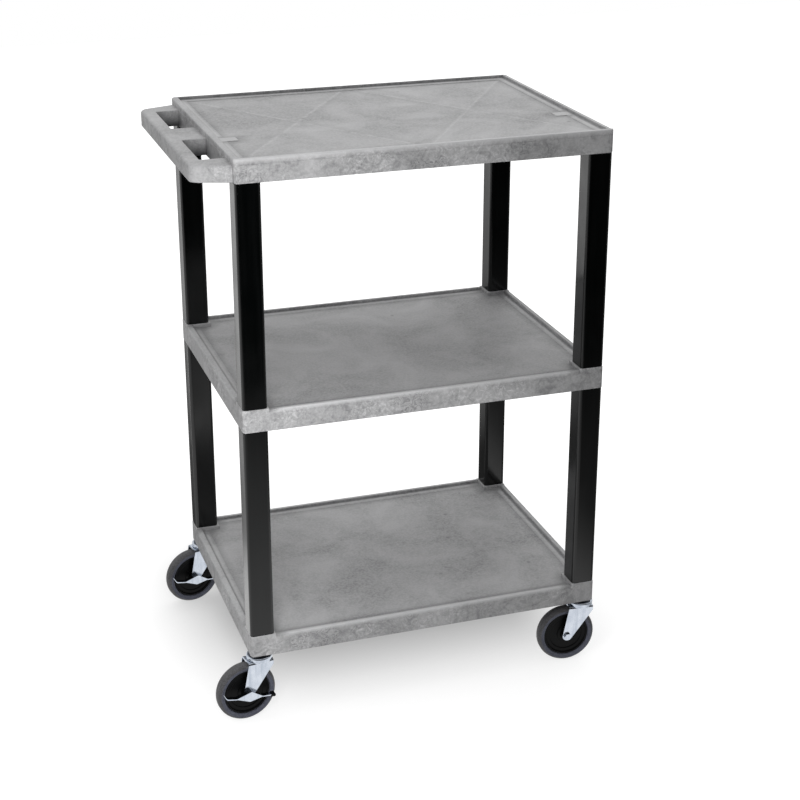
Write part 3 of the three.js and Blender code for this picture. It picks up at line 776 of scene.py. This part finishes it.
for corner in corners:
    sleeve = turned(f"stem_sleeve_{corner}_bush", [
        (sleeve_inner, 0, 0.4 * mm), (sleeve_outer, 0, 0.6 * mm),
        (sleeve_outer, sleeve_height, 0.6 * mm), (sleeve_inner, sleeve_height, 0.4 * mm)])
    mount(sleeve, "stem_sleeve", corner, "root", nylon)
    stem = turned(f"caster_stem_{corner}_pin", [
        (0, rivet_foot, 0), (rivet_radius, rivet_foot, rivet_dome),
        (rivet_radius, rivet_top, 0.3 * mm), (king_pin, rivet_top, 0), (king_pin, collar_foot, 0),
        (collar_radius, collar_foot, 0.3 * mm), (collar_radius, -seat_gap, 0.5 * mm),
        (stem_radius, -seat_gap, 0), (stem_radius, stem_length - stem_lead, 0.3 * mm),
        (stem_radius - stem_lead, stem_length, 0.2 * mm), (0, stem_length, 0)])
    mount(stem, "caster_stem", corner, "root", zinc)
    cap = turned(f"race_cap_{corner}_dish", [
        (cap_bore, cap_under, 0), (ball_track - 2.2 * mm, cap_under, 0.5 * mm),
        (cap_inner, cap_under, 1.2 * mm), (cap_inner, cap_rim_foot, 0.3 * mm),
        (cap_radius, cap_rim_foot, 0.7 * mm), (cap_radius, cap_top, cap_round),
        (cap_bore, cap_top, 0.2 * mm)])
    mount(cap, "race_cap", corner, "root", zinc)
    shape = bmesh.new()
    for k in range(ball_count):
        angle = 2 * pi * k / ball_count
        seat = (ball_track * cos(angle), ball_track * sin(angle), ball_middle)
        bmesh.ops.create_icosphere(shape, subdivisions=2, radius=ball_radius,
                                   matrix=Matrix.Translation(seat))
    balls = solid(f"swivel_balls_{corner}_set", shape)
    mount(balls, "swivel_balls", corner, "root", bearing)

# The forks
# Each is one blank of steel sheet, pressed to a channel whose two ears run down and back to the
# axle, then plated with the rest of the caster.
wheel_width = 22.2 * mm
wheel_play = 2.4 * mm
fork_inner = wheel_width / 2 + wheel_play
fork_outer = fork_inner + fork_sheet
fork_bend = 4 * mm
fork_head_radius = 20 * mm
ear_end = 8.7 * mm
ear_back = 23.5 * mm
ear_front = 19 * mm
ear_shoulder = 9 * mm
ear_steps = 28
axle_radius = 3.2 * mm
blank_overrun = 2 * mm
bore_sides = 48


def side_prism(name, outline, low, high):
    """A prism along Y of an outline in X and Z."""
    return solid(name, loft([[(x, y, z) for x, z in outline] for y in (low, high)]))


def arc(radius, start, turn, steps):
    """Points on an arc about the axle."""
    angles = [start + turn * k / steps for k in range(steps + 1)]
    return [(axle.x + radius * cos(a), axle.z + radius * sin(a)) for a in angles]


def bar(name, radius, low, high, sides=bore_sides):
    """A bar along the axle, to cut a bore with or to join on."""
    return side_prism(name, arc(radius, 0, 2 * pi, sides)[:-1], low, high)


def fork_piece(name):
    """The bent channel, cut to the outline of its ears, with its round head and its bores."""
    foot = axle.z - ear_end - blank_overrun
    section = rounded([
        (fork_outer, foot, 0), (fork_outer, fork_top, fork_bend), (-fork_outer, fork_top, fork_bend),
        (-fork_outer, foot, 0), (-fork_inner, foot, 0),
        (-fork_inner, fork_under, fork_bend - fork_sheet),
        (fork_inner, fork_under, fork_bend - fork_sheet), (fork_inner, foot, 0),
    ], 0.2)
    reach = ear_end - axle.x + blank_overrun
    channel = solid(name, loft([[(x, y, z) for y, z in section] for x in (-reach, reach)]))
    shoulder = Vector((ear_front, fork_top - ear_shoulder))
    span = shoulder - Vector((axle.x, axle.z))
    tangent = atan2(span.y, span.x) - acos(ear_end / span.length)
    high = fork_top + blank_overrun
    outline = [(-ear_back, high), *arc(ear_end, pi, pi + tangent, ear_steps), tuple(shoulder),
               (ear_front, high)]
    side = fork_outer + blank_overrun
    combine(channel, side_prism("ears", outline, -side, side), "INTERSECT")
    head = turned("head", [
        (0, fork_under, 0), (fork_head_radius, fork_under, 0), (fork_head_radius, fork_top, 0),
        (0, fork_top, 0)])
    combine(channel, head, "UNION")
    low = fork_under - blank_overrun
    pin_bore = king_pin + seat_gap
    hole = turned("hole", [(0, low, 0), (pin_bore, low, 0), (pin_bore, high, 0), (0, high, 0)],
                  count=bore_sides)
    combine(channel, hole, "DIFFERENCE")
    combine(channel, bar("across", axle_radius + seat_gap, -side, side), "DIFFERENCE")
    return ease(channel, 0.35 * mm, 2, 50)


for corner in corners:
    fork = fork_piece(f"fork_{corner}_pressing")
    mount(fork, "fork", corner, f"swivel_{corner}", zinc)

# The wheels
# A tyre of grey thermoplastic rubber is moulded round a black nylon hub: a deep rim, a thin web
# stepped in rings, and a long boss that turns on a steel bush.
wheel_radius = axle.z + pivot.z
half_width = wheel_width / 2
tyre_bead = 39.4 * mm
tread_band = 5 * mm
hub_outer = tyre_bead - seat_gap
hub_rim_thickness = 2.4 * mm
hub_inner = hub_outer - hub_rim_thickness
hub_rim_half = 7.5 * mm
hub_web_half = 4 * mm
hub_boss = 10 * mm
hub_boss_half = fork_inner - 1.1 * mm
bush_outer = axle_radius + 2.1 * mm
bush_half = fork_inner - 0.5 * mm
turned_sides = 96

# Thermoplastic rubber, moulded: matt and faintly blue, paler where the tread has rubbed, with dust
# in its 2 mm grain, drawn coarser than the real one.
rubber, tree, shader, place = finish("thermoplastic_rubber_grey_moulded", {
    "Roughness": 0.62, "IOR": 1.5})
scuff = blotches(16 * mm, 0.35, 0.7, Detail=6, Roughness=0.7)
on_tread = add(tree, "Attribute", {}, attribute_name="tread").outputs["Fac"]
tone = coat(coat("#4b4d59", "#5e616f", scuff), coat("#403f40", "#504f4f", scuff), on_tread)
grain = add(tree, "TexNoise", {"Vector": place, "Scale": 1 / (2 * mm), "Detail": 3})
dust = add(tree, "MapRange", {"Value": grain, "From Min": 0.4, "From Max": 0.7, "To Max": 0.35})
skin = add(tree, "Bump", {"Height": grain, "Strength": 0.4, "Distance": 0.08 * mm})
feed(shader, {"Base Color": coat(tone, "#7a7c84", dust), "Normal": skin})


def mirrored(profile):
    """A profile of a turned ring, given for one face, closed over to the other face."""
    return profile + [(r, -y, c) for r, y, c in reversed(profile)]


def in_tread(co):
    """One on the worn band of a tyre, and nothing on its sides."""
    return float(hypot(co.x - axle.x, co.z - axle.z) > wheel_radius - tread_band)


for corner in corners:
    body = f"wheel_{corner}"
    tyre = turned(f"tyre_{corner}_tread", mirrored([
        (tyre_bead, hub_rim_half + seat_gap, 0),
        (tyre_bead + 1.2 * mm, half_width - 1.4 * mm, 0.8 * mm),
        (wheel_radius - 7.6 * mm, half_width - 1 * mm, 0.5 * mm),
        (wheel_radius - 6.4 * mm, half_width, 1.2 * mm),
        (wheel_radius - 4.6 * mm, half_width, 2.4 * mm),
        (wheel_radius - 1.2 * mm, half_width * 0.66, 8 * mm), (wheel_radius, 3.6 * mm, 4 * mm),
    ]), "Y", axle, turned_sides)
    mark(tyre, "tread", in_tread)
    mount(tyre, "tyre", corner, body, rubber)
    hub = turned(f"wheel_hub_{corner}_moulding", mirrored([
        (bush_outer + seat_gap, hub_boss_half, 0.3 * mm), (hub_boss, hub_boss_half, 0.8 * mm),
        (hub_boss + 0.6 * mm, hub_web_half + 2.2 * mm, 1 * mm),
        (hub_boss + 5 * mm, hub_web_half + 1.6 * mm, 0.5 * mm),
        (hub_boss + 6 * mm, hub_web_half, 0.8 * mm),
        (hub_inner - 8 * mm, hub_web_half, 0.6 * mm),
        (hub_inner - 7 * mm, hub_web_half + 1.2 * mm, 0.6 * mm),
        (hub_inner - 1.4 * mm, hub_web_half + 1.4 * mm, 0.8 * mm),
        (hub_inner, hub_rim_half, 0.4 * mm), (hub_outer, hub_rim_half, 0.3 * mm),
    ]), "Y", axle, turned_sides)
    mount(hub, "wheel_hub", corner, body, nylon)

# The axles
# A quarter inch hexagon bolt, its nut and the bush that the hub turns on, all of steel. On the two
# braked casters the bolt also holds the pedal.
across_flats = 11.1 * mm
head_thickness = 4 * mm
nut_thickness = 5 * mm
bolt_tail = 2 * mm
shank_lead = 0.8 * mm
hex_cone = 0.5 * mm
pedal_sheet = 1.8 * mm
pedal_gap = 0.5 * mm
braked = ("front_left", "back_left")


def hexagon(name, low, high):
    """A hexagon bar about the axle, its corners turned off at both ends."""
    flat = across_flats / 2
    past_flat = flat + 4 * hex_cone
    crown = turned("crown", [
        (0, low, 0), (flat, low, 0), (past_flat, low + 2 * hex_cone, 0),
        (past_flat, high - 2 * hex_cone, 0), (flat, high, 0), (0, high, 0)], "Y", axle)
    return combine(bar(name, across_flats / sqrt(3), low, high, 6), crown, "INTERSECT")


def face_of_head(corner):
    """Where the bolt's head bears on the fork, or on the pedal clamped before it."""
    clamped = pedal_gap + pedal_sheet if corner in braked else 0
    return -fork_outer - clamped - seat_gap


for corner in corners:
    body = f"swivel_{corner}"
    face = face_of_head(corner)
    far = fork_outer + seat_gap
    tip = far + nut_thickness + bolt_tail
    bolt = hexagon(f"axle_bolt_{corner}_hex", face - head_thickness, face)
    shank = turned("shank", [
        (0, face - overrun, 0), (axle_radius, face - overrun, 0), (axle_radius, tip - shank_lead, 0),
        (axle_radius - shank_lead, tip, 0), (0, tip, 0)], "Y", axle, bore_sides)
    combine(bolt, shank, "UNION")
    ease(bolt, 0.2 * mm, 2, 50)
    mount(bolt, "axle_bolt", corner, body, zinc)
    nut = hexagon(f"axle_nut_{corner}_hex", far, far + nut_thickness)
    combine(nut, bar("bore", axle_radius + seat_gap, far - overrun, tip), "DIFFERENCE")
    ease(nut, 0.2 * mm, 2, 50)
    mount(nut, "axle_nut", corner, body, zinc)
    bush = turned(f"axle_bush_{corner}_tube", mirrored([
        (axle_radius + seat_gap, bush_half, 0.2 * mm), (bush_outer, bush_half, 0.3 * mm)]),
        "Y", axle, bore_sides)
    mount(bush, "axle_bush", corner, body, bearing)

# The brake pedals
# A pressed steel strap over the axle bolt of each caster under the handle. Its peaked web has a
# pointed flange outside and a bored one inside; a black nylon cap covers the front tip.
pedal_peak = 9.2 * mm
pedal_point = 9 * mm
pedal_back = 46 * mm
pedal_front = 42 * mm
pedal_back_root = 24 * mm
pedal_front_root = 21 * mm
pedal_root_drop = 2 * mm
pedal_tip_rise = 1.5 * mm
pedal_curl = 4 * mm
pedal_hub = 7.6 * mm
pedal_step = 0.15 * mm
pedal_tip_angle = radians(10)
head_play = 0.8 * mm
tip_cap_length = 7 * mm
tip_cap_wall = 1.2 * mm
pedal_tilt = (Matrix.Translation(axle) @ Matrix.Rotation(pedal_tip_angle, 4, "Y")
              @ Matrix.Translation(-axle))
pedal_inner = -fork_outer - pedal_gap
pedal_outer = face_of_head(braked[0]) - head_thickness - head_play - pedal_sheet


def about_axle(points):
    """Corners given from the axle, moved to it."""
    return [(axle.x + x, axle.z + z, radius) for x, z, radius in points]


def pedal_piece(name):
    """The strap: a peaked web, with a pointed flange outside and a bored one inside."""
    upper = [
        (-pedal_back, pedal_curl, 0), (-pedal_back + pedal_curl, -pedal_root_drop / 2, 8 * mm),
        (-pedal_back_root, -pedal_root_drop, 5 * mm), (0, pedal_peak, 3.2 * mm),
        (pedal_front_root, 0, 5 * mm), (pedal_front, pedal_tip_rise, 0),
    ]
    bends = (0, -pedal_sheet, 0, pedal_sheet, 0, 0)
    lower = [(x, z - pedal_sheet, radius + more) for (x, z, radius), more in zip(upper, bends)]
    web = side_prism(name, rounded(about_axle(upper + lower[::-1])), pedal_outer, pedal_inner)
    sunk = pedal_sheet / 3
    point = side_prism("point", rounded(about_axle([
        (-pedal_back_root, -pedal_root_drop - sunk, 0),
        (-pedal_back_root, -pedal_root_drop - 2 * sunk, 0), (0, -pedal_point, 3 * mm),
        (pedal_front_root, -2 * sunk, 0), (pedal_front_root, -sunk, 0),
        (0, pedal_peak - sunk, 2.6 * mm)])), pedal_outer + pedal_step, pedal_outer + pedal_sheet)
    combine(web, point, "UNION")
    back = pedal_inner - pedal_sheet
    combine(web, bar("hub", pedal_hub, back, pedal_inner - pedal_step), "UNION")
    hole = bar("hole", axle_radius + seat_gap, back - overrun, pedal_inner + overrun)
    combine(web, hole, "DIFFERENCE")
    return ease(web, 0.3 * mm, 2, 50)


def pedal_cap(name):
    """The cap over the front tip: a block along the strap, hollowed from behind."""
    rise = pedal_tip_rise / (pedal_front - pedal_front_root)
    end = pedal_front + seat_gap + tip_cap_wall
    mouth = pedal_front - tip_cap_length + tip_cap_wall
    half = pedal_sheet / 2 + seat_gap
    shell = half + tip_cap_wall

    def middle(x):
        """The height of the strap's middle at a place along it."""
        return (x - pedal_front_root) * rise - pedal_sheet / 2

    body = side_prism(name, rounded(about_axle([
        (mouth, middle(mouth) - shell, 0.5 * mm), (end, middle(end) - shell, 1.6 * mm),
        (end, middle(end) + shell, 1.6 * mm), (mouth, middle(mouth) + shell, 0.5 * mm)])),
        pedal_outer - seat_gap - tip_cap_wall, pedal_inner - seat_gap)
    inner_end = pedal_front + seat_gap
    start = mouth - blank_overrun
    hollow = side_prism("hollow", rounded(about_axle([
        (start, middle(start) - half, 0), (inner_end, middle(inner_end) - half, 0),
        (inner_end, middle(inner_end) + half, 0), (start, middle(start) + half, 0)])),
        pedal_outer - seat_gap, pedal_inner + blank_overrun)
    combine(body, hollow, "DIFFERENCE")
    return ease(body, 0.35 * mm, 3, 50)


for corner in braked:
    body = f"brake_{corner}"
    pedal = pedal_piece(f"brake_pedal_{corner}_pressing")
    pedal.data.transform(pedal_tilt)
    mount(pedal, "brake_pedal", corner, body, zinc)
    tip_cap = pedal_cap(f"pedal_tip_{corner}_cap")
    tip_cap.data.transform(pedal_tilt)
    mount(tip_cap, "pedal_tip", corner, body, nylon)

# The studio
# A pale floor and a pale surround, with a broad soft lamp overhead and a tall one close to the left
# of the front. What lies behind the camera is left dark, as where such things are photographed.
floor_left, floor_right, floor_front, floor_back = -6, 6, -1.5, 6
floor_mesh = bpy.data.meshes.new("studio_floor")
floor_mesh.from_pydata([
    (floor_left, floor_front, 0), (floor_right, floor_front, 0), (floor_right, floor_back, 0),
    (floor_left, floor_back, 0)], [], [(0, 1, 2, 3)])
placed("studio_floor", floor_mesh)

# Matt paper: it takes the trolley's soft shadow, and its glow shows it white to the eye, with a
# painted shadow under and near the trolley. What the glossy legs and plating reflect of it is bright
# at the left and in front, and dim close by at the back.
paper, tree, shader, place = finish("studio_paper_matt", {
    "Roughness": 0.9, "Specular IOR Level": 0.05, "Emission Color": "#ffffff"})
shadow_edges_y = (-0.29, 0.14, 0.2, 0.55)
shadow_edges_x = (-0.44, -0.12, 0.24, 0.44)


def faded(*spans, curve="LINEAR"):
    """A level of light: the product of spans (value, start, end, level there, level here)."""
    level = 1
    for value, start, end, low, high in spans:
        span = add(tree, "MapRange", {"Value": value, "From Min": start, "From Max": end,
                                      "To Min": low, "To Max": high}, interpolation_type=curve)
        level = add(tree, "Math", {0: level, 1: span}, operation="MULTIPLY")
    return level


def shown(to_eye, in_gloss, otherwise):
    """A light level that differs for the eye, for reflections and for what it sheds itself."""
    ray = add(tree, "LightPath", {}).outputs
    seen = add(tree, "Math", {0: ray["Is Camera Ray"], 1: ray["Is Transmission Ray"]},
               operation="MAXIMUM")
    unseen = add(tree, "Mix", {0: ray["Is Glossy Ray"], 2: otherwise, 3: in_gloss})
    return add(tree, "Mix", {0: seen, 2: unseen, 3: to_eye})


x, y, z = add(tree, "SeparateXYZ", {0: place}).outputs
# A painted shadow: the floor's glow to the eye is lowered under the trolley
shade = faded((y, *shadow_edges_y[:2], 0, 0.64), (y, *shadow_edges_y[:1:-1], 0, 1),
              (x, *shadow_edges_x[:2], 0, 1), (x, *shadow_edges_x[:1:-1], 0, 1),
              curve="SMOOTHSTEP")
away = add(tree, "VectorMath", {0: place}, operation="LENGTH")
# Painted shade: the glow is also lowered near the trolley, and rises to full farther off
open_floor = faded((away, 0.4, 0.8, 0.8, 1), curve="SMOOTHSTEP")
floor_seen = add(tree, "Math", {0: open_floor, 1: shade}, operation="SUBTRACT")
aslant = add(tree, "Math", {0: y, 1: 0.2, 2: x}, operation="MULTIPLY_ADD")
at_left = faded((aslant, -0.26, -0.34, 0, 1.05), (y, 0.6, 1.3, 0.45, 1))
at_back = faded((y, 0.7, 0.95, 0, 0.31), (x, -0.35, -0.2, 0, 1))
far_back = faded((y, 1.55, 1.9, 0, 0.42))
in_front = faded((y, -1.5, -0.35, 0.02, 1.1), (y, 0.5, 0.3, 0, 1), (x, 0.58, 0.42, 0.15, 1))
reflected = at_left
for part in (at_back, far_back, in_front):
    reflected = add(tree, "Math", {0: reflected, 1: part}, operation="MAXIMUM")
in_gloss = add(tree, "LightPath", {}).outputs["Is Glossy Ray"]
feed(shader, {"Base Color": coat("#a3a3a3", "#585858", in_gloss),
              "Emission Strength": shown(floor_seen, reflected, 0)})
floor_mesh.materials.append(paper)

# The surround: white to the eye, darker behind the camera in reflections, and otherwise a plain
# light that comes mostly from above and from behind the trolley
world = bpy.data.worlds.new("studio_surround")
scene.world = world
world.use_nodes = True
tree = world.node_tree
heading = add(tree, "TexCoord", {}).outputs["Generated"]
x, y, z = add(tree, "SeparateXYZ", {0: heading}).outputs
ambient = add(tree, "Math", {0: faded((z, 0, 0.9, 0.11, 0.55)), 1: faded((y, -0.1, 0.5, 0, 0.6))},
              operation="ADD")
studio = faded((y, -0.75, 0.1, 0.01, 1))
feed(tree.nodes["Background"], {"Color": "#ffffff", "Strength": shown(1, studio, ambient)})


def lamp(name, place, aim, width, height, spread, power, in_gloss):
    """An area lamp aimed at a point, unseen by the camera and, if wished, in reflections."""
    light = bpy.data.lights.new(name, "AREA")
    light.shape = "RECTANGLE"
    light.size = width
    light.size_y = height
    light.spread = radians(spread)
    light.energy = power
    thing = placed(name, light)
    thing.location = place
    thing.rotation_euler = (Vector(aim) - Vector(place)).to_track_quat("-Z", "Y").to_euler()
    thing.visible_camera = False
    thing.visible_glossy = in_gloss


lamp("overhead_lamp", (0.0, 0.1, 2.6), (0.0, 0, 0.5), 1.8, 1.8, 180, 7.6, True)
lamp("front_left_lamp", (-0.45, -0.82, 0.7), (-0.25, -0.2, 0.62), 0.3, 0.8, 140, 3.7, False)

# The camera stands at the photograph's place: to the left of the front, and a little above
target = Vector((53.6 * mm, 6.4 * mm, 514 * mm))
azimuth = radians(-18.57)
elevation = radians(20.98)
distance = 2915.7 * mm
back = Vector((sin(azimuth) * cos(elevation), -cos(azimuth) * cos(elevation), sin(elevation)))
view = bpy.data.cameras.new("photo_camera")
view.lens = 76.01
view.sensor_width = 36
view.shift_y = -0.05
camera = placed("photo_camera", view)
camera.location = target + back * distance
camera.rotation_euler = (-back).to_track_quat("-Z", "Y").to_euler()
scene.camera = camera
scene.view_settings.view_transform = "Standard"
